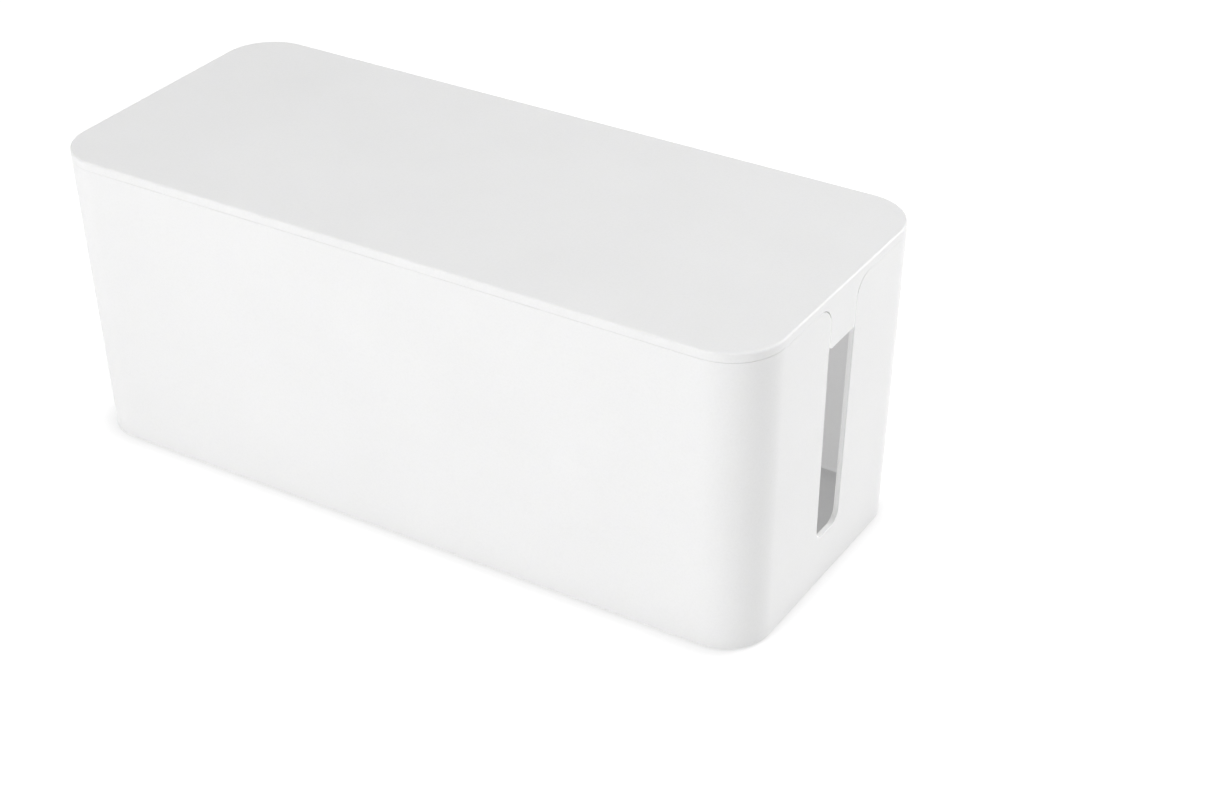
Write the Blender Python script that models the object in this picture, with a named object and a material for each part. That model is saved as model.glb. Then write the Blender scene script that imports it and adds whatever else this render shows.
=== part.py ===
"""Cable management box: an open-topped moulded box with a lift-off lid and four rubber feet.

Metres, +Z up. The origin is on the surface that the box stands on, under its middle.
+X runs along the length. Power strips and their cables lie inside, and the cables leave
through a slot in each end wall. The lid closes each slot's top with a tongue.
"""

import math
from collections import namedtuple

import bmesh
import bpy

# Outer size
LENGTH = 0.320
WIDTH = 0.135
HEIGHT = 0.1311
CORNER_RADIUS = 0.022  # plan radius of the upright corners, at the rim

# Box walls
FOOT_STANDOFF = 0.0006  # how far the feet hold the box off the surface
BASE_Z = FOOT_STANDOFF
RIM_Z = 0.1272
END_LEAN = 0.0030  # how far each end wall leans in from the rim to the base
SIDE_LEAN = 0.0048  # the same, for the front and rear walls
WALL = 0.0022
FLOOR = 0.0025
FLOOR_Z = BASE_Z + FLOOR
BASE_EDGE_RADIUS = 0.0008
FLOOR_FILLET = 0.004
EDGE_ROUND = 0.0005  # radius on every free edge of the walls

# Cable slot in each end wall
SLOT_HALF_TOP = 0.0104
SLOT_HALF_BOTTOM = 0.0089
SLOT_BOTTOM_Z = 0.0222
SLOT_FLARE = 0.0088  # rounds the rim where it turns down into the slot
SLOT_CORNER = 0.0052

# Lid
SEAM_GAP = 0.0004
SKIRT_Z = RIM_Z + SEAM_GAP
LID_PLATE = 0.0020
LID_UNDERSIDE_Z = HEIGHT - LID_PLATE
LID_EDGE_RADIUS = 0.0009
LID_FILLET = LID_UNDERSIDE_Z - SKIRT_Z
LID_FILLET_START = 25  # degrees round the fillet where it meets the skirt's rounded edge
TONGUE_CLEARANCE = 0.0006
TONGUE_BOTTOM_Z = 0.1079
TONGUE_FILLET = 0.0088
TONGUE_CORNER = 0.0016
LIP_CLEARANCE = 0.0004
LIP_THICKNESS = 0.0015
LIP_BOTTOM_Z = 0.1232
LIP_END_Y = 0.015  # the lip stops this far from the middle of each end, beside the tongue
RIB_THICKNESS = 0.0012
RIB_DEPTH = 0.0026
LONG_RIB_SHARE = 0.8  # a long rib's depth and overlap, as a share of a cross rib's
RIB_OVERLAP = 0.0006  # how far a rib or lip is sunk into the plate above it
CROSS_RIB_X = (-0.104, -0.052, 0.0, 0.052, 0.104)
LONG_RIB_Y = (-0.024, 0.024)

# Feet
FOOT_RADIUS = 0.0062
FOOT_BEVEL = 0.0003
FOOT_GAP = 0.0003
FOOT_RECESS = 0.0009
FOOT_TOP_Z = BASE_Z + FOOT_RECESS - FOOT_GAP
FOOT_X = 0.134
FOOT_Y = 0.044

# Colours
WHITE = (0.86, 0.86, 0.85)
GREY = (0.32, 0.32, 0.33)

# Mesh fineness
CORNER_STEPS = 10
ROUND_STEPS = 3
ARC_STEPS = 6
FOOT_SIDES = 32
SMOOTH_ANGLE = math.radians(35)

# A point on the free edge of a wall. (cx, cy) is the centre of its plan arc, (ux, uy) points
# outwards from that centre, and (ny, nz) points out of the material within the wall's plane.
EdgePoint = namedtuple("EdgePoint", "cx cy ux uy z ny nz at_corner")


def clear_scene():
    for obj in list(bpy.data.objects):
        bpy.data.objects.remove(obj, do_unlink=True)


def make_material(name, colour, roughness):
    material = bpy.data.materials.new(name)
    material.use_nodes = True
    shader = material.node_tree.nodes["Principled BSDF"]
    shader.inputs["Base Color"].default_value = (*colour, 1.0)
    shader.inputs["Roughness"].default_value = roughness
    shader.inputs["Metallic"].default_value = 0.0
    material.diffuse_color = (*colour, 1.0)
    return material


def make_object(name, bm, material=None):
    """Turns the bmesh into a smooth-shaded object with its faces pointing out."""
    bmesh.ops.recalc_face_normals(bm, faces=bm.faces)
    mesh = bpy.data.meshes.new(name)
    bm.to_mesh(mesh)
    bm.free()
    mesh.shade_smooth()
    mesh.set_sharp_from_angle(angle=SMOOTH_ANGLE)
    if material:
        mesh.materials.append(material)
    obj = bpy.data.objects.new(name, mesh)
    bpy.context.scene.collection.objects.link(obj)
    return obj


def make_helper(name, bm):
    """A solid that only cuts or joins: it isn't a part itself."""
    obj = make_object(name, bm)
    obj.hide_render = True
    obj.display_type = "WIRE"
    return obj


def add_boolean(obj, helper, operation):
    modifier = obj.modifiers.new(helper.name, "BOOLEAN")
    modifier.operation = operation
    modifier.solver = "EXACT"
    modifier.object = helper


def depth_share(z):
    """How far below the rim a height is, from 0 at the rim to 1 at the base."""
    return max(0.0, RIM_Z - z) / (RIM_Z - BASE_Z)


def arc(start_degrees, end_degrees, steps):
    """(cosine, sine) at even steps from one angle to the other, both included."""
    for step in range(steps + 1):
        angle = math.radians(start_degrees + (end_degrees - start_degrees) * step / steps)
        yield math.cos(angle), math.sin(angle)


def corner_points(side_y, start_degrees, z, nz):
    """Edge points round one upright corner at the +X end."""
    cx = LENGTH / 2 - CORNER_RADIUS
    cy = side_y * (WIDTH / 2 - CORNER_RADIUS)
    return [
        EdgePoint(cx, cy, ux, uy, z, 0.0, nz, True)
        for ux, uy in arc(start_degrees, start_degrees + 90, CORNER_STEPS)
    ]


def end_arc(centre_y, centre_z, radius, start_degrees, end_degrees, out):
    """Edge points on the +X end wall along an arc. out is 1 where the material is inside it."""
    cx = LENGTH / 2 - CORNER_RADIUS
    return [
        EdgePoint(cx, centre_y + radius * c, 1.0, 0.0, centre_z + radius * s, out * c, out * s, False)
        for c, s in arc(start_degrees, end_degrees, ARC_STEPS)
    ]


def slot_outline():
    """The rim's path down one side of the slot, along its bottom and up the other side."""
    flare_y = SLOT_HALF_TOP + SLOT_FLARE
    flare_z = RIM_Z - SLOT_FLARE
    bottom_y = SLOT_HALF_BOTTOM - SLOT_CORNER
    bottom_z = SLOT_BOTTOM_Z + SLOT_CORNER
    return (
        end_arc(-flare_y, flare_z, SLOT_FLARE, 90, 0, 1)
        + end_arc(-bottom_y, bottom_z, SLOT_CORNER, 180, 270, -1)
        + end_arc(bottom_y, bottom_z, SLOT_CORNER, 270, 360, -1)
        + end_arc(flare_y, flare_z, SLOT_FLARE, 180, 90, 1)
    )


def slot_half_width(z):
    """Half the slot's width at height z, along its straight sides."""
    top = RIM_Z - SLOT_FLARE
    bottom = SLOT_BOTTOM_Z + SLOT_CORNER
    share = (z - bottom) / (top - bottom)
    return SLOT_HALF_BOTTOM + (SLOT_HALF_TOP - SLOT_HALF_BOTTOM) * share


def tongue_outline():
    """The skirt's path down round the tongue that fills the top of the slot."""
    root_y = SLOT_HALF_TOP - TONGUE_CLEARANCE + TONGUE_FILLET
    root_z = SKIRT_Z - TONGUE_FILLET
    tip_z = TONGUE_BOTTOM_Z + TONGUE_CORNER
    tip_y = slot_half_width(tip_z) - TONGUE_CLEARANCE - TONGUE_CORNER
    return (
        end_arc(-root_y, root_z, TONGUE_FILLET, 90, 0, -1)
        + end_arc(-tip_y, tip_z, TONGUE_CORNER, 180, 270, 1)
        + end_arc(tip_y, tip_z, TONGUE_CORNER, 270, 360, 1)
        + end_arc(root_y, root_z, TONGUE_FILLET, 180, 90, -1)
    )


def half_turn(point):
    return point._replace(cx=-point.cx, cy=-point.cy, ux=-point.ux, uy=-point.uy, ny=-point.ny)


def free_edge(z, nz, end_outline):
    """The whole free edge of a wall, anticlockwise from above, with end_outline at both ends."""
    half = corner_points(-1, -90, z, nz) + end_outline + corner_points(1, 0, z, nz)
    return half + [half_turn(point) for point in half]


def place(point, inset, offset=0.0):
    """Where an edge point lies: inset from the outer face, and offset out of the material.

    The walls lean in as they go down. The front and rear ones lean further than the ends,
    so the centre of each corner's arc moves in with them.
    """
    z = point.z + offset * point.nz
    share = depth_share(z)
    radius = CORNER_RADIUS - inset - END_LEAN * share
    y = point.cy + offset * point.ny + radius * point.uy
    if point.at_corner:
        y -= math.copysign((SIDE_LEAN - END_LEAN) * share, point.cy)
    return (point.cx + radius * point.ux, y, z)


def plain_loop(bm, z, inset):
    """A level loop of vertices round the four corners only, inset from the leaning outer face."""
    corners = corner_points(-1, -90, z, 1) + corner_points(1, 0, z, 1)
    corners += [half_turn(point) for point in corners]
    return [bm.verts.new(place(point, inset)) for point in corners]


def rounded_edge_loops(bm, edge, thickness):
    """Loops over the free edge, from the outer face to the inner one, with both arrises rounded."""
    outer = [(EDGE_ROUND * (1 - c), EDGE_ROUND * (s - 1)) for c, s in arc(0, 90, ROUND_STEPS)]
    inner = [(thickness - inset, offset) for inset, offset in reversed(outer)]
    return [
        [bm.verts.new(place(point, inset, offset)) for point in edge]
        for inset, offset in outer + inner
    ]


def join_loops(bm, lower, upper):
    """Quads between two loops with the same number of vertices."""
    count = len(lower)
    for i in range(count):
        j = (i + 1) % count
        bm.faces.new((lower[i], lower[j], upper[j], upper[i]))


def join_to_edge(bm, plain, edge_loop, edge):
    """One face for each side of the plain loop, however many edge points lie above that side."""
    at_corner = [i for i, point in enumerate(edge) if point.at_corner]
    count = len(at_corner)
    for k in range(count):
        start = at_corner[k]
        end = at_corner[(k + 1) % count]
        steps = (end - start) % len(edge)
        across = [edge_loop[(start + step) % len(edge)] for step in range(steps, -1, -1)]
        bm.faces.new([plain[k], plain[(k + 1) % count]] + across)


def build_shell(bm, first_loops, edge, thickness, last_loops):
    """A closed shell: a capped stack of plain loops, over the free edge, to a second stack."""
    first = [plain_loop(bm, z, inset) for z, inset in first_loops]
    over = rounded_edge_loops(bm, edge, thickness)
    last = [plain_loop(bm, z, inset) for z, inset in last_loops]
    bm.faces.new(first[0])
    for a, b in zip(first, first[1:]):
        join_loops(bm, a, b)
    join_to_edge(bm, first[-1], over[0], edge)
    for a, b in zip(over, over[1:]):
        join_loops(bm, a, b)
    join_to_edge(bm, last[0], over[-1], edge)
    for a, b in zip(last, last[1:]):
        join_loops(bm, a, b)
    bm.faces.new(last[-1])


def add_box(bm, low, high):
    """A box between two corners, added to the bmesh."""
    size = [b - a for a, b in zip(low, high)]
    centre = [(a + b) / 2 for a, b in zip(low, high)]
    made = bmesh.ops.create_cube(bm, size=1.0)["verts"]
    bmesh.ops.scale(bm, vec=size, verts=made)
    bmesh.ops.translate(bm, vec=centre, verts=made)


def build_box_body(material):
    r = BASE_EDGE_RADIUS
    outer = [(BASE_Z + r * (1 - c), r * (1 - s)) for c, s in arc(0, 90, ARC_STEPS)]
    f = FLOOR_FILLET
    inner = [(FLOOR_Z + f * (1 - s), WALL + f * (1 - c)) for c, s in arc(0, 90, ARC_STEPS)]
    bm = bmesh.new()
    build_shell(bm, outer, free_edge(RIM_Z, 1, slot_outline()), WALL, inner)
    body = make_object("box_body", bm, material)
    add_boolean(body, build_foot_recesses(), "DIFFERENCE")
    return body


def foot_places():
    """Each foot's name and place in plan."""
    for depth, y in (("front", -FOOT_Y), ("rear", FOOT_Y)):
        for side, x in (("left", -FOOT_X), ("right", FOOT_X)):
            yield f"foot_{depth}_{side}", x, y


def build_foot_recesses():
    """Round pockets in the underside, one over each foot, as one cutter."""
    bm = bmesh.new()
    radius = FOOT_RADIUS + FOOT_GAP
    top = BASE_Z + FOOT_RECESS
    bottom = -FOOT_RECESS
    for _, x, y in foot_places():
        made = bmesh.ops.create_cone(
            bm,
            cap_ends=True,
            segments=FOOT_SIDES,
            radius1=radius,
            radius2=radius,
            depth=top - bottom,
        )["verts"]
        bmesh.ops.translate(bm, vec=(x, y, (top + bottom) / 2), verts=made)
    return make_helper("cut_foot_recesses", bm)


def build_foot(name, x, y, material):
    """A round pad with its two rims slightly broken."""
    bm = bmesh.new()
    bmesh.ops.create_cone(
        bm,
        cap_ends=True,
        segments=FOOT_SIDES,
        radius1=FOOT_RADIUS,
        radius2=FOOT_RADIUS,
        depth=FOOT_TOP_Z,
    )
    rims = [edge for edge in bm.edges if abs(edge.verts[0].co.z - edge.verts[1].co.z) < 1e-6]
    bmesh.ops.bevel(bm, geom=rims, offset=FOOT_BEVEL, segments=2, affect="EDGES", profile=0.5)
    foot = make_object(name, bm, material)
    foot.location = (x, y, FOOT_TOP_Z / 2)
    return foot


def build_lips():
    """Two locating lips under the lid, front and rear, each ending beside the tongues."""
    bm = bmesh.new()
    outer = WALL + LIP_CLEARANCE
    inner = outer + LIP_THICKNESS
    top = LID_UNDERSIDE_Z + RIB_OVERLAP
    right = corner_points(-1, -90, 0.0, 1)
    left = [half_turn(point) for point in corner_points(1, 0, 0.0, 1)]
    right_end = right[-1]._replace(cy=-LIP_END_Y)
    left_end = left[0]._replace(cy=-LIP_END_Y)
    path = [left_end] + left + right + [right_end]
    for flip in (1, -1):
        sections = []
        for point in path:
            near = _lip_corner(point, outer)
            far = _lip_corner(point, inner)
            corners = ((near, LIP_BOTTOM_Z), (far, LIP_BOTTOM_Z), (far, top), (near, top))
            sections.append([bm.verts.new((x * flip, y * flip, z)) for (x, y), z in corners])
        bm.faces.new(sections[0])
        for a, b in zip(sections, sections[1:]):
            join_loops(bm, a, b)
        bm.faces.new(sections[-1])
    return make_helper("join_lips", bm)


def _lip_corner(point, inset):
    """Plan position of a lip's edge, which is upright and so ignores the wall's lean."""
    radius = CORNER_RADIUS - inset
    return point.cx + radius * point.ux, point.cy + radius * point.uy


def build_cross_ribs():
    """Stiffening ribs across the lid's underside, from lip to lip."""
    bm = bmesh.new()
    reach = WIDTH / 2 - WALL - LIP_CLEARANCE - LIP_THICKNESS / 2
    for x in CROSS_RIB_X:
        low = (x - RIB_THICKNESS / 2, -reach, LID_UNDERSIDE_Z - RIB_DEPTH)
        high = (x + RIB_THICKNESS / 2, reach, LID_UNDERSIDE_Z + RIB_OVERLAP)
        add_box(bm, low, high)
    return make_helper("join_cross_ribs", bm)


def build_long_ribs():
    """Stiffening ribs along the lid's underside, a little shallower than the cross ribs."""
    bm = bmesh.new()
    reach = LENGTH / 2 - WALL - LIP_CLEARANCE - LIP_THICKNESS / 2
    for y in LONG_RIB_Y:
        low = (-reach, y - RIB_THICKNESS / 2, LID_UNDERSIDE_Z - RIB_DEPTH * LONG_RIB_SHARE)
        high = (reach, y + RIB_THICKNESS / 2, LID_UNDERSIDE_Z + RIB_OVERLAP * LONG_RIB_SHARE)
        add_box(bm, low, high)
    return make_helper("join_long_ribs", bm)


def build_lid(material):
    """The lid, which lifts straight up. Its origin is on that line, at the height of the seam."""
    r = LID_EDGE_RADIUS
    outer = [(HEIGHT - r * (1 - c), r * (1 - s)) for c, s in arc(0, 90, ARC_STEPS)]
    f = LID_FILLET
    inner = [(SKIRT_Z + f * s, WALL + f * (1 - c)) for c, s in arc(LID_FILLET_START, 90, ARC_STEPS)]
    bm = bmesh.new()
    build_shell(bm, outer, free_edge(SKIRT_Z, -1, tongue_outline()), WALL, inner)
    bmesh.ops.translate(bm, vec=(0.0, 0.0, -SKIRT_Z), verts=bm.verts)
    lid = make_object("lid", bm, material)
    lid.location = (0.0, 0.0, SKIRT_Z)
    add_boolean(lid, build_lips(), "UNION")
    add_boolean(lid, build_cross_ribs(), "UNION")
    add_boolean(lid, build_long_ribs(), "UNION")
    return lid


def main():
    clear_scene()
    body_plastic = make_material("box_body_plastic", WHITE, 0.42)
    lid_plastic = make_material("lid_plastic", WHITE, 0.38)
    build_box_body(body_plastic)
    build_lid(lid_plastic)
    for name, x, y in foot_places():
        rubber = make_material(name + "_rubber", GREY, 0.75)
        build_foot(name, x, y, rubber)


main()
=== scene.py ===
"""Looks of the cable management box: fine shells, moulded-plastic materials, light and camera.

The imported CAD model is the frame. Each of its nodes is replaced by a finer piece of the same
shape, built here from the same dimensions, which rides on the same body. Metres, +Z up.
"""

import math
from collections import namedtuple

import bmesh
import bpy
from mathutils import Matrix, Vector


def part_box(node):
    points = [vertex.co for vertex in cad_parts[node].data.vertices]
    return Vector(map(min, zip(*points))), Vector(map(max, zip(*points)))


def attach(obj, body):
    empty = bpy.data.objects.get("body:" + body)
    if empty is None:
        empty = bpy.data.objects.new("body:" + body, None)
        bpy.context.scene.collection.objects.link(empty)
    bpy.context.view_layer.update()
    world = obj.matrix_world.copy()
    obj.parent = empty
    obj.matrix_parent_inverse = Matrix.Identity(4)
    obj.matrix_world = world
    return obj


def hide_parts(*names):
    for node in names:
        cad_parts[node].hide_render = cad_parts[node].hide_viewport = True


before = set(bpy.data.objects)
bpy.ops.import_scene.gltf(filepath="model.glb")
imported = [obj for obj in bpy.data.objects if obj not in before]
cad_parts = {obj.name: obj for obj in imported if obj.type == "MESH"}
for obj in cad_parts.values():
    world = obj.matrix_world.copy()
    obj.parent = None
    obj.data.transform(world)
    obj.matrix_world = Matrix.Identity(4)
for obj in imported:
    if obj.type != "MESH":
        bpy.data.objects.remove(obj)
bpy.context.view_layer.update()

box_low, box_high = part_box("box_body")
lid_low, lid_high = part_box("lid")

# Outer size, from the frame
LENGTH = box_high.x - box_low.x
WIDTH = box_high.y - box_low.y
BASE_Z = box_low.z
RIM_Z = box_high.z
HEIGHT = lid_high.z
TONGUE_BOTTOM_Z = lid_low.z

# Walls, as in the CAD model
CORNER_RADIUS = 0.022
END_LEAN = 0.0030
SIDE_LEAN = 0.0048
WALL = 0.0022
FLOOR_THICKNESS = 0.0025
FLOOR_Z = BASE_Z + FLOOR_THICKNESS
BASE_EDGE_RADIUS = 0.0008
FLOOR_FILLET = 0.004

# Cable slot in each end wall
SLOT_HALF_TOP = 0.0104
SLOT_HALF_BOTTOM = 0.0089
SLOT_BOTTOM_Z = 0.0222
SLOT_FLARE = 0.0088
SLOT_CORNER = 0.0052

# Arris radii round the free edges: fine at the seam and beside the tongues, larger below them
SEAM_EDGE_ROUND = 0.00013
SLOT_EDGE_ROUND = 0.00042
INNER_EDGE_ROUND = 0.00035
ARRIS_GROWTH = 0.0018
ARRIS_GROWTH_STEPS = 3

# The inner plastic, which also carries a painted glow, begins part of the way up the floor's fillet.
# On the slots' own sides it ends part of the way up their flares.
INNER_PLASTIC_GLOW_FOOT_Z = FLOOR_Z + FLOOR_FILLET * 0.6
INNER_PLASTIC_GLOW_TOP_Z = RIM_Z - SLOT_FLARE * 0.6

# Lid. The CAD solids keep a 0.4 mm gap at the seam, and the shells close all but 0.06 mm of it.
CAD_SEAM_GAP = 0.0004
SEAM_CLOSING = 0.00017
SHELL_RIM_Z = RIM_Z + SEAM_CLOSING
SHELL_SKIRT_Z = RIM_Z + CAD_SEAM_GAP - SEAM_CLOSING
LID_PLATE = 0.0020
LID_UNDERSIDE_Z = HEIGHT - LID_PLATE
LID_EDGE_RADIUS = 0.0009
LID_FILLET = LID_UNDERSIDE_Z - SHELL_SKIRT_Z
LID_FILLET_START_DEGREES = 25
TONGUE_CLEARANCE = 0.0006
TONGUE_FILLET = 0.0088
TONGUE_CORNER = 0.0016
LIP_PLAY = 0.0004
LIP_OUTER = WALL + LIP_PLAY
LIP_ROOT = 0.0015
LIP_TIP = 0.0011
LIP_BOTTOM_Z = 0.1232
LIP_END_Y = 0.015
RIB_ROOT = 0.0012
RIB_TIP = 0.0008
RIB_DEPTH = 0.0026
RIB_OVERLAP = 0.0006
LONG_RIB_SHARE = 0.8
CROSS_RIB_X = (-0.104, -0.052, 0.0, 0.052, 0.104)
LONG_RIB_Y = (-0.024, 0.024)

# Feet
FOOT_RADIUS = 0.0062
FOOT_GAP = 0.0003
FOOT_RECESS = 0.0009
FOOT_RECESS_DRAFT = 0.0001
FOOT_EDGE_ROUND = 0.0003
FOOT_GROOVE_INNER = 0.0030
FOOT_GROOVE_OUTER = 0.0042
FOOT_GROOVE_SLOPE = 0.0003
FOOT_GROOVE_DEPTH = 0.00018

# Marks that the mould leaves
EJECTOR_RADIUS = 0.0032
EJECTOR_DEPTH = 0.00012
FLOOR_EJECTOR_X = (-0.12, -0.06, 0.06, 0.12)
FLOOR_EJECTOR_Y = (-0.036, 0.036)
LID_EJECTOR_X = (-0.130, -0.078, -0.026, 0.026, 0.078, 0.130)
LID_EJECTOR_Y = (-0.044, 0.0, 0.044)
GATE_DISH_RADIUS = 0.0042
GATE_DISH_TOP_RADIUS = GATE_DISH_RADIUS * 0.85
GATE_DISH_DEPTH = 0.0004
GATE_STUB_RADIUS = 0.0009
GATE_STUB_TIP_RADIUS = GATE_STUB_RADIUS * 0.7
GATE_STUB_TIP_Z = BASE_Z + 0.00008
GATE_STUB_SHOULDER_Z = BASE_Z + 0.00020
GATE_STUB_ROOT = 0.0004

# Mesh fineness. The lip's corners have fewer steps than the lid's, so that no vertices coincide
# where the lip is joined on.
CORNER_STEPS = 28
LIP_STEPS = 25
ROUND_STEPS = 5
NOSE_STEPS = 8
ARC_STEPS = 14
DISC_SIDES = 64
MERGE_DISTANCE = 0.000001
SHARP_DEGREES = 35
PAD_SHARP_DEGREES = 50

# Heights down a slot's side through which its arrises grow
SLOT_SIDE_Z = tuple(
    TONGUE_BOTTOM_Z - ARRIS_GROWTH * step / ARRIS_GROWTH_STEPS for step in range(ARRIS_GROWTH_STEPS + 1)
)

EdgePoint = namedtuple("EdgePoint", "cx cy ux uy z ny nz at_corner")


# ---------------------------------------------------------------- shells

def depth_share(z):
    """How far below the rim a height is, from 0 at the rim to 1 at the base."""
    return max(0.0, RIM_Z - z) / (RIM_Z - BASE_Z)


def arc(start_degrees, end_degrees, steps):
    """(cosine, sine) at even steps from one angle to the other, both included."""
    for step in range(steps + 1):
        angle = math.radians(start_degrees + (end_degrees - start_degrees) * step / steps)
        yield math.cos(angle), math.sin(angle)


def corner_points(side_y, start_degrees, z, nz, steps=CORNER_STEPS):
    """Edge points round one upright corner at the +X end."""
    cx = LENGTH / 2 - CORNER_RADIUS
    cy = side_y * (WIDTH / 2 - CORNER_RADIUS)
    return [
        EdgePoint(cx, cy, ux, uy, z, 0.0, nz, True)
        for ux, uy in arc(start_degrees, start_degrees + 90, steps)
    ]


def end_arc(centre_y, centre_z, radius, start_degrees, end_degrees, out):
    """Edge points on the +X end wall along an arc. out is 1 where the material is inside it."""
    cx = LENGTH / 2 - CORNER_RADIUS
    return [
        EdgePoint(cx, centre_y + radius * c, 1.0, 0.0, centre_z + radius * s, out * c, out * s, False)
        for c, s in arc(start_degrees, end_degrees, ARC_STEPS)
    ]


def slot_outline():
    """The rim's path down one side of the slot, along its bottom and up the other side."""
    flare_y = SLOT_HALF_TOP + SLOT_FLARE
    flare_z = SHELL_RIM_Z - SLOT_FLARE
    bottom_y = SLOT_HALF_BOTTOM - SLOT_CORNER
    bottom_z = SLOT_BOTTOM_Z + SLOT_CORNER
    return (
        end_arc(-flare_y, flare_z, SLOT_FLARE, 90, 0, 1)
        + slot_side(-1, SLOT_SIDE_Z)
        + end_arc(-bottom_y, bottom_z, SLOT_CORNER, 180, 270, -1)
        + end_arc(bottom_y, bottom_z, SLOT_CORNER, 270, 360, -1)
        + slot_side(1, reversed(SLOT_SIDE_Z))
        + end_arc(flare_y, flare_z, SLOT_FLARE, 180, 90, 1)
    )


def slot_side(side, heights):
    """Edge points down or up one straight side of the slot."""
    cx = LENGTH / 2 - CORNER_RADIUS
    return [EdgePoint(cx, side * slot_half_width(z), 1.0, 0.0, z, -side, 0.0, False) for z in heights]


def slot_half_width(z):
    """Half the slot's width at height z, along its straight sides."""
    top = RIM_Z - SLOT_FLARE
    bottom = SLOT_BOTTOM_Z + SLOT_CORNER
    share = (z - bottom) / (top - bottom)
    return SLOT_HALF_BOTTOM + (SLOT_HALF_TOP - SLOT_HALF_BOTTOM) * share


def tongue_outline():
    """The skirt's path down round the tongue that fills the top of the slot."""
    root_y = SLOT_HALF_TOP - TONGUE_CLEARANCE + TONGUE_FILLET
    root_z = SHELL_SKIRT_Z - TONGUE_FILLET
    tip_z = TONGUE_BOTTOM_Z + TONGUE_CORNER
    tip_y = slot_half_width(tip_z) - TONGUE_CLEARANCE - TONGUE_CORNER
    return (
        end_arc(-root_y, root_z, TONGUE_FILLET, 90, 0, -1)
        + end_arc(-tip_y, tip_z, TONGUE_CORNER, 180, 270, 1)
        + end_arc(tip_y, tip_z, TONGUE_CORNER, 270, 360, 1)
        + end_arc(root_y, root_z, TONGUE_FILLET, 180, 90, -1)
    )


def half_turn(point):
    """The same edge point turned half way round the box's upright axis."""
    return point._replace(cx=-point.cx, cy=-point.cy, ux=-point.ux, uy=-point.uy, ny=-point.ny)


def free_edge(z, nz, end_outline):
    """The whole free edge of a wall, anticlockwise from above, with end_outline at both ends."""
    half = corner_points(-1, -90, z, nz) + end_outline + corner_points(1, 0, z, nz)
    return half + [half_turn(point) for point in half]


def place(point, inset, offset=0.0):
    """Where an edge point lies: inset from the outer face, and offset out of the material.

    Towards the base the corner radii shrink by the ends' lean, and the sides come in by the rest
    of their own.
    """
    z = point.z + offset * point.nz
    share = depth_share(z)
    radius = CORNER_RADIUS - inset - END_LEAN * share
    y = point.cy + offset * point.ny + radius * point.uy
    if point.at_corner:
        y -= math.copysign((SIDE_LEAN - END_LEAN) * share, point.cy)
    return (point.cx + radius * point.ux, y, z)


def plain_loop(bm, z, inset):
    """A level loop of vertices round the four corners only, inset from the leaning outer face."""
    corners = corner_points(-1, -90, z, 1) + corner_points(1, 0, z, 1)
    corners += [half_turn(point) for point in corners]
    return [bm.verts.new(place(point, inset)) for point in corners]


def edge_round(point, largest):
    """The arris radius at an edge point: fine at the seam and the tongues, largest below them."""
    below = (TONGUE_BOTTOM_Z - point.z) / ARRIS_GROWTH
    return SEAM_EDGE_ROUND + (largest - SEAM_EDGE_ROUND) * min(1.0, max(0.0, below))


def arris_loop(bm, edge, inner, c, s):
    """One loop of the rounded arris on the outer or the inner side of the free edge."""
    loop = []
    for point in edge:
        radius = edge_round(point, INNER_EDGE_ROUND if inner else SLOT_EDGE_ROUND)
        inset = radius * (1 - c)
        if inner:
            inset = WALL - inset
        loop.append(bm.verts.new(place(point, inset, radius * (s - 1))))
    return loop


def rounded_edge_loops(bm, edge):
    """Loops over the free edge, from the outer face to the inner one, with both arrises rounded."""
    steps = list(arc(0, 90, ROUND_STEPS))
    outer = [arris_loop(bm, edge, False, c, s) for c, s in steps]
    inner = [arris_loop(bm, edge, True, c, s) for c, s in reversed(steps)]
    return outer + inner


def join_loops(bm, lower, upper):
    """Quads between two loops with the same number of vertices."""
    count = len(lower)
    for i in range(count):
        j = (i + 1) % count
        bm.faces.new((lower[i], lower[j], upper[j], upper[i]))


def join_to_edge(bm, plain, edge_loop, edge):
    """One face for each side of the plain loop, however many edge points lie above that side."""
    at_corner = [i for i, point in enumerate(edge) if point.at_corner]
    count = len(at_corner)
    for k in range(count):
        start = at_corner[k]
        end = at_corner[(k + 1) % count]
        steps = (end - start) % len(edge)
        across = [edge_loop[(start + step) % len(edge)] for step in range(steps, -1, -1)]
        bm.faces.new([plain[k], plain[(k + 1) % count]] + across)


def build_shell(bm, first_loops, edge, last_loops):
    """A closed shell: a capped stack of plain loops, over the free edge, to a second stack."""
    first = [plain_loop(bm, z, inset) for z, inset in first_loops]
    over = rounded_edge_loops(bm, edge)
    last = [plain_loop(bm, z, inset) for z, inset in last_loops]
    bm.faces.new(first[0])
    for a, b in zip(first, first[1:]):
        join_loops(bm, a, b)
    join_to_edge(bm, first[-1], over[0], edge)
    for a, b in zip(over, over[1:]):
        join_loops(bm, a, b)
    inner_start = len(bm.faces)
    land_start = inner_start - len(edge) * (ROUND_STEPS + 1)
    join_to_edge(bm, last[0], over[-1], edge)
    for a, b in zip(last, last[1:]):
        join_loops(bm, a, b)
    bm.faces.new(last[-1])
    mark_inside_painted_glow(bm, land_start, inner_start)


def mark_inside_painted_glow(bm, land_start, inner_start):
    """Gives the inner faces and the open slots' sides the inner plastic with its painted glow, but not the
    floor.

    The faces from land_start to inner_start lie across the free edge, past its outer arris.
    """
    bm.faces.ensure_lookup_table()
    for face in bm.faces[land_start:inner_start]:
        face.material_index = int(face.calc_center_median().z < INNER_PLASTIC_GLOW_TOP_Z)
    for face in bm.faces[inner_start:]:
        face.material_index = int(face.calc_center_median().z > INNER_PLASTIC_GLOW_FOOT_Z)


# ---------------------------------------------------------------- solids joined to or cut from the shells

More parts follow.
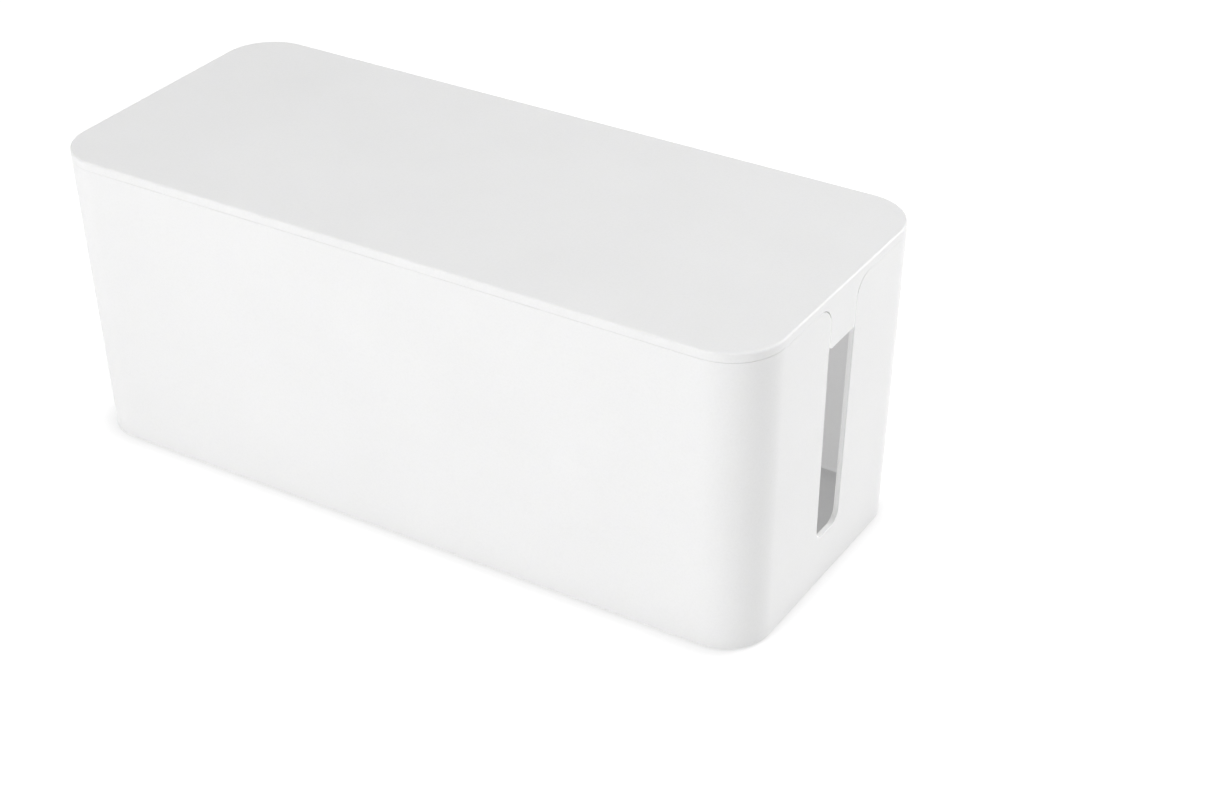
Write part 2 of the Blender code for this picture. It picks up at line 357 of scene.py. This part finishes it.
def sweep(bm, sections):
    """A closed solid through a row of cross-sections, capped at both ends."""
    loops = [[bm.verts.new(point) for point in section] for section in sections]
    bm.faces.new(loops[0])
    for a, b in zip(loops, loops[1:]):
        join_loops(bm, a, b)
    bm.faces.new(loops[-1])


def turned(bm, profile, centre=(0.0, 0.0)):
    """A closed turned solid: profile is (radius, z) pairs, from one flat end to the other."""
    loops = []
    for radius, z in profile:
        ring = []
        for i in range(DISC_SIDES):
            angle = 2 * math.pi * i / DISC_SIDES
            x = centre[0] + radius * math.cos(angle)
            ring.append(bm.verts.new((x, centre[1] + radius * math.sin(angle), z)))
        loops.append(ring)
    bm.faces.new(loops[0])
    for a, b in zip(loops, loops[1:]):
        join_loops(bm, a, b)
    bm.faces.new(loops[-1])


def wall_profile(root, tip, root_z, tip_z):
    """(offset, z) round a rib's section: its sides draw in towards a rounded tip."""
    radius = tip / 2
    side = [(-root / 2, root_z)]
    nose = [(-radius * c, tip_z + radius * (1 - s)) for c, s in arc(0, 180, NOSE_STEPS)]
    return side + nose + [(root / 2, root_z)]


def lip_path():
    """Edge points round one side of the lid, each with its plan centre, for the lip below it."""
    right = corner_points(-1, -90, 0.0, 1, LIP_STEPS)
    left = [half_turn(point) for point in corner_points(1, 0, 0.0, 1, LIP_STEPS)]
    right_end = right[-1]._replace(cy=-LIP_END_Y)
    left_end = left[0]._replace(cy=-LIP_END_Y)
    return [left_end] + left + right + [right_end]


def build_lips(bm):
    """The lip that drops inside the rim, in two halves that stop beside the tongues."""
    profile = wall_profile(LIP_ROOT, LIP_TIP, LID_UNDERSIDE_Z + RIB_OVERLAP, LIP_BOTTOM_Z)
    for flip in (1, -1):
        sections = []
        for point in lip_path():
            section = []
            for offset, z in profile:
                radius = CORNER_RADIUS - LIP_OUTER - LIP_ROOT / 2 - offset
                x = point.cx + radius * point.ux
                section.append((x * flip, (point.cy + radius * point.uy) * flip, z))
            sections.append(section)
        sweep(bm, sections)


def build_cross_ribs(bm):
    """Low ribs across the lid's underside, from lip to lip."""
    reach = WIDTH / 2 - LIP_OUTER - LIP_ROOT / 2
    tip_z = LID_UNDERSIDE_Z - RIB_DEPTH
    profile = wall_profile(RIB_ROOT, RIB_TIP, LID_UNDERSIDE_Z + RIB_OVERLAP, tip_z)
    for rib_x in CROSS_RIB_X:
        sweep(bm, [[(rib_x + offset, y, z) for offset, z in profile] for y in (-reach, reach)])


def build_long_ribs(bm):
    """Ribs along the lid's underside, a little shallower than those they cross."""
    reach = LENGTH / 2 - LIP_OUTER - LIP_ROOT / 2
    root_z = LID_UNDERSIDE_Z + RIB_OVERLAP * LONG_RIB_SHARE
    tip_z = LID_UNDERSIDE_Z - RIB_DEPTH * LONG_RIB_SHARE
    profile = wall_profile(RIB_ROOT, RIB_TIP, root_z, tip_z)
    for rib_y in LONG_RIB_Y:
        sweep(bm, [[(x, rib_y + offset, z) for offset, z in profile] for x in (-reach, reach)])


def foot_places():
    """Each foot's CAD node name and its place in plan, from the frame."""
    for name in sorted(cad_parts):
        if name.startswith("foot_"):
            low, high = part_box(name)
            yield name, (low.x + high.x) / 2, (low.y + high.y) / 2


def cut_base(bm):
    """Cutters for the underside: a pocket over each foot and the dish round the gate."""
    radius = FOOT_RADIUS + FOOT_GAP
    mouth = radius + FOOT_RECESS_DRAFT
    for _, x, y in foot_places():
        turned(bm, [(mouth, -FOOT_RECESS), (mouth, BASE_Z), (radius, BASE_Z + FOOT_RECESS)], (x, y))
    dish = [
        (GATE_DISH_RADIUS, -GATE_DISH_DEPTH),
        (GATE_DISH_RADIUS, BASE_Z),
        (GATE_DISH_TOP_RADIUS, BASE_Z + GATE_DISH_DEPTH),
    ]
    turned(bm, dish)


def ejector_marks(bm, face_z, places_x, places_y):
    """Cutters for the shallow round marks that ejector pins leave on a level face."""
    profile = [(EJECTOR_RADIUS, face_z - EJECTOR_DEPTH), (EJECTOR_RADIUS, face_z + EJECTOR_DEPTH)]
    for x in places_x:
        for y in places_y:
            turned(bm, profile, (x, y))


def cut_floor(bm):
    """Cutters for the ejector marks on the inside floor."""
    ejector_marks(bm, FLOOR_Z, FLOOR_EJECTOR_X, FLOOR_EJECTOR_Y)


def cut_lid_underside(bm):
    """Cutters for the ejector marks on the lid's underside, clear of its ribs."""
    ejector_marks(bm, LID_UNDERSIDE_Z, LID_EJECTOR_X, LID_EJECTOR_Y)


def add_gate_stub(bm):
    """The stub that is left where the plastic was broken off at the gate, inside its dish."""
    stub = [
        (GATE_STUB_TIP_RADIUS, GATE_STUB_TIP_Z),
        (GATE_STUB_RADIUS, GATE_STUB_SHOULDER_Z),
        (GATE_STUB_RADIUS, BASE_Z + GATE_DISH_DEPTH + GATE_STUB_ROOT),
    ]
    turned(bm, stub)


# ---------------------------------------------------------------- objects

def new_object(name, bm, materials=()):
    """A linked object with the mesh that bm holds, its faces turned outwards."""
    bmesh.ops.recalc_face_normals(bm, faces=bm.faces)
    mesh = bpy.data.meshes.new(name)
    bm.to_mesh(mesh)
    bm.free()
    for material in materials:
        mesh.materials.append(material)
    obj = bpy.data.objects.new(name, mesh)
    bpy.context.scene.collection.objects.link(obj)
    return obj


def merge_doubles(mesh):
    """Merges vertices that a boolean leaves on one another, with the flat faces between them."""
    bm = bmesh.new()
    bm.from_mesh(mesh)
    bmesh.ops.remove_doubles(bm, verts=bm.verts, dist=MERGE_DISTANCE)
    bmesh.ops.dissolve_degenerate(bm, edges=bm.edges, dist=MERGE_DISTANCE)
    bm.to_mesh(mesh)
    bm.free()


def apply_booleans(obj, steps):
    """Joins or cuts obj by each (operation, builder) and keeps the result as its mesh."""
    helpers = []
    for operation, builder in steps:
        bm = bmesh.new()
        builder(bm)
        helper = new_object("helper_" + builder.__name__, bm)
        helpers.append(helper)
        modifier = obj.modifiers.new(helper.name, "BOOLEAN")
        modifier.operation = operation
        modifier.solver = "EXACT"
        modifier.object = helper
    depsgraph = bpy.context.evaluated_depsgraph_get()
    joined = bpy.data.meshes.new_from_object(obj.evaluated_get(depsgraph), depsgraph=depsgraph)
    merge_doubles(joined)
    obj.modifiers.clear()
    obj.data = joined
    for helper in helpers:
        bpy.data.objects.remove(helper, do_unlink=True)


def smooth_shade(obj, sharp_degrees):
    """Smooth shading in which the large flat faces stay flat."""
    obj.data.shade_smooth()
    obj.data.set_sharp_from_angle(angle=math.radians(sharp_degrees))
    weighted = obj.modifiers.new("flat_faces_lead", "WEIGHTED_NORMAL")
    weighted.mode = "FACE_AREA"
    weighted.keep_sharp = True


def finish_piece(obj, body, node):
    """Puts a piece on the body it rides on and hides the CAD node that it stands for."""
    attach(obj, body)
    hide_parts(node)


def build_box_shell(materials):
    """The box: walls, floor and slots in one shell. materials are its outer plastic and its inner plastic,
    which carries a painted glow.
    """
    edge = BASE_EDGE_RADIUS
    outer = [(BASE_Z + edge * (1 - c), edge * (1 - s)) for c, s in arc(0, 90, ARC_STEPS)]
    fillet = FLOOR_FILLET
    inner = [(FLOOR_Z + fillet * (1 - s), WALL + fillet * (1 - c)) for c, s in arc(0, 90, ARC_STEPS)]
    bm = bmesh.new()
    build_shell(bm, outer, free_edge(SHELL_RIM_Z, 1, slot_outline()), inner)
    shell = new_object("box_shell", bm, materials)
    cuts = [("DIFFERENCE", cut_base), ("DIFFERENCE", cut_floor), ("UNION", add_gate_stub)]
    apply_booleans(shell, cuts)
    smooth_shade(shell, SHARP_DEGREES)
    finish_piece(shell, "box", "box_body")


def build_lid_shell(materials):
    """The lid: plate, skirt and tongues in one shell, with the lip and ribs joined to it."""
    edge = LID_EDGE_RADIUS
    outer = [(HEIGHT - edge * (1 - c), edge * (1 - s)) for c, s in arc(0, 90, ARC_STEPS)]
    round_in = arc(LID_FILLET_START_DEGREES, 90, ARC_STEPS)
    inner = [(SHELL_SKIRT_Z + LID_FILLET * s, WALL + LID_FILLET * (1 - c)) for c, s in round_in]
    bm = bmesh.new()
    build_shell(bm, outer, free_edge(SHELL_SKIRT_Z, -1, tongue_outline()), inner)
    shell = new_object("lid_shell", bm, materials)
    steps = [
        ("DIFFERENCE", cut_lid_underside),
        ("UNION", build_lips),
        ("UNION", build_cross_ribs),
        ("UNION", build_long_ribs),
    ]
    apply_booleans(shell, steps)
    smooth_shade(shell, SHARP_DEGREES)
    finish_piece(shell, "lid", "lid")


def build_foot_pad(node, x, y, material):
    """A rubber pad with a rounded edge and a shallow ring moulded into its sole."""
    low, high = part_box(node)
    edge = FOOT_EDGE_ROUND
    rounded = list(arc(0, 90, ROUND_STEPS))
    profile = [
        (FOOT_GROOVE_INNER, low.z),
        (FOOT_GROOVE_INNER + FOOT_GROOVE_SLOPE, low.z + FOOT_GROOVE_DEPTH),
        (FOOT_GROOVE_OUTER - FOOT_GROOVE_SLOPE, low.z + FOOT_GROOVE_DEPTH),
        (FOOT_GROOVE_OUTER, low.z),
    ]
    profile += [(FOOT_RADIUS - edge * (1 - s), low.z + edge * (1 - c)) for c, s in rounded]
    profile += [(FOOT_RADIUS - edge * (1 - c), high.z - edge * (1 - s)) for c, s in rounded]
    bm = bmesh.new()
    turned(bm, profile, (x, y))
    pad = new_object(node.replace("foot_", "foot_pad_"), bm, [material])
    smooth_shade(pad, PAD_SHARP_DEGREES)
    finish_piece(pad, "box", node)


# ---------------------------------------------------------------- materials

WHITE = (0.84, 0.84, 0.84)
GREY = (0.30, 0.30, 0.31)
BODY_ROUGHNESS = 0.42
LID_ROUGHNESS = 0.38
INNER_ROUGHNESS = 0.34
OUTER_GRAIN = 0.00005
INNER_GRAIN = 0.00002
RUBBER_GRAIN = 0.00004
# Painted light: an even glow on the inner faces, standing in for the light that comes through the thin
# walls
INSIDE_PAINTED_GLOW = 0.16

# The plastic's optics: its refractive index, and how light scatters in it, by colour and in metres
PLASTIC_IOR = 1.49
SCATTER_RADIUS = (1.0, 1.0, 0.95)
SCATTER_SCALE = 0.0005

# Features per metre in each noise
CLOUD_SCALE = 22.0
GLOSS_SCALE = 60.0
DUST_SCALE = 350.0
SPECK_SCALE = 1100.0
FINE_SCALE = 2600.0
RUBBER_SCALE = 3000.0

# The values that most of a noise lies between
NOISE_LOW = 0.3
NOISE_HIGH = 0.7

WEAR_REACH = 0.0006
BEVEL_SAMPLES = 4
FLAT_COSINE = 0.995
EDGE_COSINE = 0.90


class Nodes:
    """A small helper that adds nodes to a node tree and links them in one call."""

    def __init__(self, tree):
        self.tree = tree

    def add(self, kind, inputs=None, **settings):
        """A new node. inputs holds values, or the sockets to link, by input name or number."""
        node = self.tree.nodes.new(kind)
        for key, value in settings.items():
            setattr(node, key, value)
        for key, value in (inputs or {}).items():
            if isinstance(value, bpy.types.NodeSocket):
                self.tree.links.new(value, node.inputs[key])
            else:
                node.inputs[key].default_value = value
        return node

    def noise(self, where, scale, detail=2.0, roughness=0.5):
        """Noise from 0 to 1 about 0.5, with features about 1/scale metres across."""
        inputs = {"Vector": where, "Scale": scale, "Detail": detail, "Roughness": roughness}
        return self.add("ShaderNodeTexNoise", inputs).outputs["Fac"]

    def remap(self, value, from_low, from_high, to_low, to_high):
        """A value moved from one range to another, and kept inside the new one."""
        inputs = {
            "Value": value,
            "From Min": from_low,
            "From Max": from_high,
            "To Min": to_low,
            "To Max": to_high,
        }
        return self.add("ShaderNodeMapRange", inputs).outputs["Result"]

    def math(self, operation, first, second):
        """The result of one calculation with two values."""
        return self.add("ShaderNodeMath", {0: first, 1: second}, operation=operation).outputs[0]

    def sum_of(self, first, first_share, second, second_share):
        """Two values added in the given shares."""
        first = self.math("MULTIPLY", first, first_share)
        return self.math("ADD", first, self.math("MULTIPLY", second, second_share))

    def mix(self, factor, first, second):
        """A colour between two others."""
        node = self.add("ShaderNodeMix", data_type="RGBA")
        for socket, value in ((node.inputs[0], factor), (node.inputs[6], first), (node.inputs[7], second)):
            if isinstance(value, bpy.types.NodeSocket):
                self.tree.links.new(value, socket)
            else:
                socket.default_value = value
        return node.outputs[2]


def new_material(name):
    """A new material, a helper for its nodes, and its shader."""
    material = bpy.data.materials.new(name)
    material.use_nodes = True
    shader = material.node_tree.nodes["Principled BSDF"]
    return material, Nodes(material.node_tree), shader


def tint(colour, factor=1.0):
    """A colour made lighter or darker by a factor, with its alpha."""
    return (*(min(1.0, channel * factor) for channel in colour), 1.0)


def edge_mask(nodes, reach):
    """1 on outer edges and creases narrower than reach, 0 on the flats."""
    rounded = nodes.add("ShaderNodeBevel", {"Radius": reach}, samples=BEVEL_SAMPLES).outputs[0]
    normal = nodes.add("ShaderNodeNewGeometry").outputs["Normal"]
    same = nodes.add("ShaderNodeVectorMath", {0: rounded, 1: normal}, operation="DOT_PRODUCT")
    return nodes.remap(same.outputs["Value"], FLAT_COSINE, EDGE_COSINE, 0.0, 1.0)


def moulded_plastic(name, colour, roughness, grain, glow):
    """White moulded plastic with a fine spark-eroded grain, faintly uneven in tone and gloss.

    grain is the depth of the texture in metres. glow is painted light: an even emission on the inner
    faces that stands in for the light coming through the thin wall, which the shader's own scattering
    doesn't carry into the box.
    """
    material, nodes, shader = new_material(name)
    where = nodes.add("ShaderNodeTexCoord").outputs["Object"]
    clouds = nodes.noise(where, CLOUD_SCALE, 3.0)
    specks = nodes.noise(where, SPECK_SCALE, 2.0, 0.6)
    fine = nodes.noise(where, FINE_SCALE, 2.0, 0.6)
    edges = edge_mask(nodes, WEAR_REACH)

    # Tone: cloudy and specked between dull and clean, darker in the pits, paler on worn edges
    shade = nodes.sum_of(clouds, 0.4, specks, 0.6)
    tone = nodes.mix(nodes.remap(shade, NOISE_LOW, NOISE_HIGH, 0.0, 1.0), tint(colour, 0.955), tint(colour))
    tone = nodes.mix(nodes.remap(specks, 0.64, 0.78, 0.0, 0.25), tone, tint(colour, 0.8))
    tone = nodes.mix(nodes.math("MULTIPLY", edges, 0.6), tone, tint(colour, 1.03))
    nodes.tree.links.new(tone, shader.inputs["Base Color"])

    # Gloss: uneven in patches and in the grain, and polished along the edges
    patches = nodes.noise(where, GLOSS_SCALE, 4.0)
    gloss = nodes.remap(patches, NOISE_LOW, NOISE_HIGH, roughness - 0.04, roughness + 0.04)
    gloss = nodes.math("ADD", gloss, nodes.remap(fine, NOISE_LOW, NOISE_HIGH, -0.03, 0.03))
    gloss = nodes.math("SUBTRACT", gloss, nodes.math("MULTIPLY", edges, 0.10))
    nodes.tree.links.new(gloss, shader.inputs["Roughness"])

    bump_inputs = {"Strength": 1.0, "Distance": grain, "Height": nodes.sum_of(fine, 0.6, specks, 0.4)}
    bump = nodes.add("ShaderNodeBump", bump_inputs)
    nodes.tree.links.new(bump.outputs[0], shader.inputs["Normal"])
    shader.inputs["IOR"].default_value = PLASTIC_IOR
    shader.inputs["Subsurface Weight"].default_value = 1.0
    shader.inputs["Subsurface Radius"].default_value = SCATTER_RADIUS
    shader.inputs["Subsurface Scale"].default_value = SCATTER_SCALE
    # Painted light: this emission is the inner plastic's painted glow
    shader.inputs["Emission Color"].default_value = (1.0, 1.0, 1.0, 1.0)
    shader.inputs["Emission Strength"].default_value = glow
    return material


def foot_rubber(name, colour):
    """Grey rubber with a slightly dusty, uneven matte skin."""
    material, nodes, shader = new_material(name)
    where = nodes.add("ShaderNodeTexCoord").outputs["Object"]
    grain = nodes.noise(where, RUBBER_SCALE, 3.0, 0.6)
    dust = nodes.noise(where, DUST_SCALE, 4.0, 0.6)
    tone = nodes.mix(nodes.remap(dust, 0.42, 0.72, 0.0, 0.7), tint(colour), tint(colour, 1.35))
    nodes.tree.links.new(tone, shader.inputs["Base Color"])
    matte = nodes.remap(grain, NOISE_LOW, NOISE_HIGH, 0.70, 0.86)
    nodes.tree.links.new(matte, shader.inputs["Roughness"])
    bump = nodes.add("ShaderNodeBump", {"Strength": 1.0, "Distance": RUBBER_GRAIN, "Height": grain})
    nodes.tree.links.new(bump.outputs[0], shader.inputs["Normal"])
    return material


# ---------------------------------------------------------------- studio

CAMERA_LOCATION = Vector((0.48013, -0.67950, 0.54943))
CAMERA_AIM = Vector((0.07502, -0.02579, 0.06600))
CAMERA_ROLL_DEGREES = -0.35
CAMERA_LENS_MM = 70.905
SENSOR_MM = 36.0

FLOOR_RADIUS = 8.0
FLOOR_SIDES = 96
FLOOR_COLOUR = 0.50
FLOOR_ROUGHNESS = 0.9
FLOOR_SHINE = 0.1
FLOOR_GLOW = 0.65
FAR_FLOOR_GLOW = 0.87
NEAR_FLOOR_RADIUS = 0.6
FAR_FLOOR_RADIUS = 1.5

# The contact shadow: how far it reaches, how much glow is left in it, and the openness at which
# it is darkest
CONTACT_REACH = 0.0095
CONTACT_SHARE = 0.66
CONTACT_OPENNESS = 0.4
CONTACT_SAMPLES = 8

# The sky's strength as a light, and as the camera sees it past the floor
SKY_LIGHT = 0.29
SKY_SEEN = 1.05

# Name, bearing and elevation in degrees as seen from the box, distance and width in metres, watts
SOFTBOXES = (
    ("softbox_front", -100.0, 32.0, 1.8, 1.2, 15.0),
    ("softbox_rear", 54.0, 30.0, 1.8, 1.2, 17.5),
    ("softbox_over", 0.0, 88.0, 1.8, 1.2, 9.2),
)


def build_camera():
    """The camera, which looks down on the lid, the front wall and the slotted right end."""
    data = bpy.data.cameras.new("camera")
    data.lens = CAMERA_LENS_MM
    data.sensor_width = SENSOR_MM
    camera = bpy.data.objects.new("camera", data)
    turn = (CAMERA_AIM - CAMERA_LOCATION).to_track_quat("-Z", "Y").to_matrix().to_4x4()
    roll = Matrix.Rotation(math.radians(CAMERA_ROLL_DEGREES), 4, "Z")
    camera.matrix_world = Matrix.Translation(CAMERA_LOCATION) @ turn @ roll
    bpy.context.scene.collection.objects.link(camera)
    bpy.context.scene.camera = camera


def build_softboxes():
    """Round area lights that face the middle of the box."""
    centre = Vector((0.0, 0.0, HEIGHT / 2))
    for name, bearing, elevation, distance, width, watts in SOFTBOXES:
        data = bpy.data.lights.new(name, "AREA")
        data.shape = "DISK"
        data.size = width
        data.energy = watts
        light = bpy.data.objects.new(name, data)
        around = math.radians(bearing)
        up = math.radians(elevation)
        level = math.cos(up)
        away = Vector((math.cos(around) * level, math.sin(around) * level, math.sin(up)))
        light.location = centre + away * distance
        light.rotation_mode = "QUATERNION"
        light.rotation_quaternion = away.to_track_quat("Z", "Y")
        bpy.context.scene.collection.objects.link(light)


def build_world():
    """Even soft light from all round, and plain white where the camera sees past the floor."""
    world = bpy.data.worlds.new("studio")
    world.use_nodes = True
    nodes = Nodes(world.node_tree)
    camera_ray = nodes.add("ShaderNodeLightPath").outputs["Is Camera Ray"]
    strength = nodes.remap(camera_ray, 0.0, 1.0, SKY_LIGHT, SKY_SEEN)
    world.node_tree.links.new(strength, world.node_tree.nodes["Background"].inputs["Strength"])
    world.node_tree.nodes["Background"].inputs["Color"].default_value = (1.0, 1.0, 1.0, 1.0)
    bpy.context.scene.world = world


def clear_from_below(nodes, shader):
    """Makes the floor one-sided, so that the underside of what stands on it can be looked at."""
    below = nodes.add("ShaderNodeNewGeometry").outputs["Backfacing"]
    clear = nodes.add("ShaderNodeBsdfTransparent").outputs[0]
    seen = nodes.add("ShaderNodeMixShader", {0: below, 1: shader.outputs[0], 2: clear}).outputs[0]
    nodes.tree.links.new(seen, nodes.tree.nodes["Material Output"].inputs["Surface"])


def build_floor():
    """A white floor that is dimmed close to the box, and brighter where the softboxes don't reach."""
    bm = bmesh.new()
    bmesh.ops.create_circle(bm, cap_ends=True, segments=FLOOR_SIDES, radius=FLOOR_RADIUS)
    material, nodes, shader = new_material("floor_white")
    floor = new_object("floor", bm, [material])
    shader.inputs["Base Color"].default_value = (FLOOR_COLOUR, FLOOR_COLOUR, FLOOR_COLOUR, 1.0)
    shader.inputs["Roughness"].default_value = FLOOR_ROUGHNESS
    shader.inputs["Specular IOR Level"].default_value = FLOOR_SHINE
    shader.inputs["Emission Color"].default_value = (1.0, 1.0, 1.0, 1.0)
    reach = {"Distance": CONTACT_REACH}
    openness = nodes.add("ShaderNodeAmbientOcclusion", reach, samples=CONTACT_SAMPLES).outputs["AO"]
    shade = nodes.remap(openness, CONTACT_OPENNESS, 1.0, CONTACT_SHARE, 1.0)
    where = nodes.add("ShaderNodeTexCoord").outputs["Object"]
    away = nodes.add("ShaderNodeVectorMath", {0: where}, operation="LENGTH").outputs["Value"]
    glow = nodes.remap(away, NEAR_FLOOR_RADIUS, FAR_FLOOR_RADIUS, FLOOR_GLOW, FAR_FLOOR_GLOW)
    nodes.tree.links.new(nodes.math("MULTIPLY", shade, glow), shader.inputs["Emission Strength"])
    clear_from_below(nodes, shader)


def main():
    # The inner plastic glows with painted light, which stands in for light coming through the walls
    inside = moulded_plastic("white_inner_plastic_painted_glow", WHITE, INNER_ROUGHNESS, INNER_GRAIN, INSIDE_PAINTED_GLOW)
    body = moulded_plastic("white_body_plastic", WHITE, BODY_ROUGHNESS, OUTER_GRAIN, 0.0)
    build_box_shell([body, inside])
    lid = moulded_plastic("white_lid_plastic", WHITE, LID_ROUGHNESS, OUTER_GRAIN, 0.0)
    build_lid_shell([lid, inside])
    rubber = foot_rubber("grey_rubber", GREY)
    for node, x, y in list(foot_places()):
        build_foot_pad(node, x, y, rubber)
    build_floor()
    build_world()
    build_softboxes()
    build_camera()
    bpy.context.scene.view_settings.view_transform = "Standard"


main()
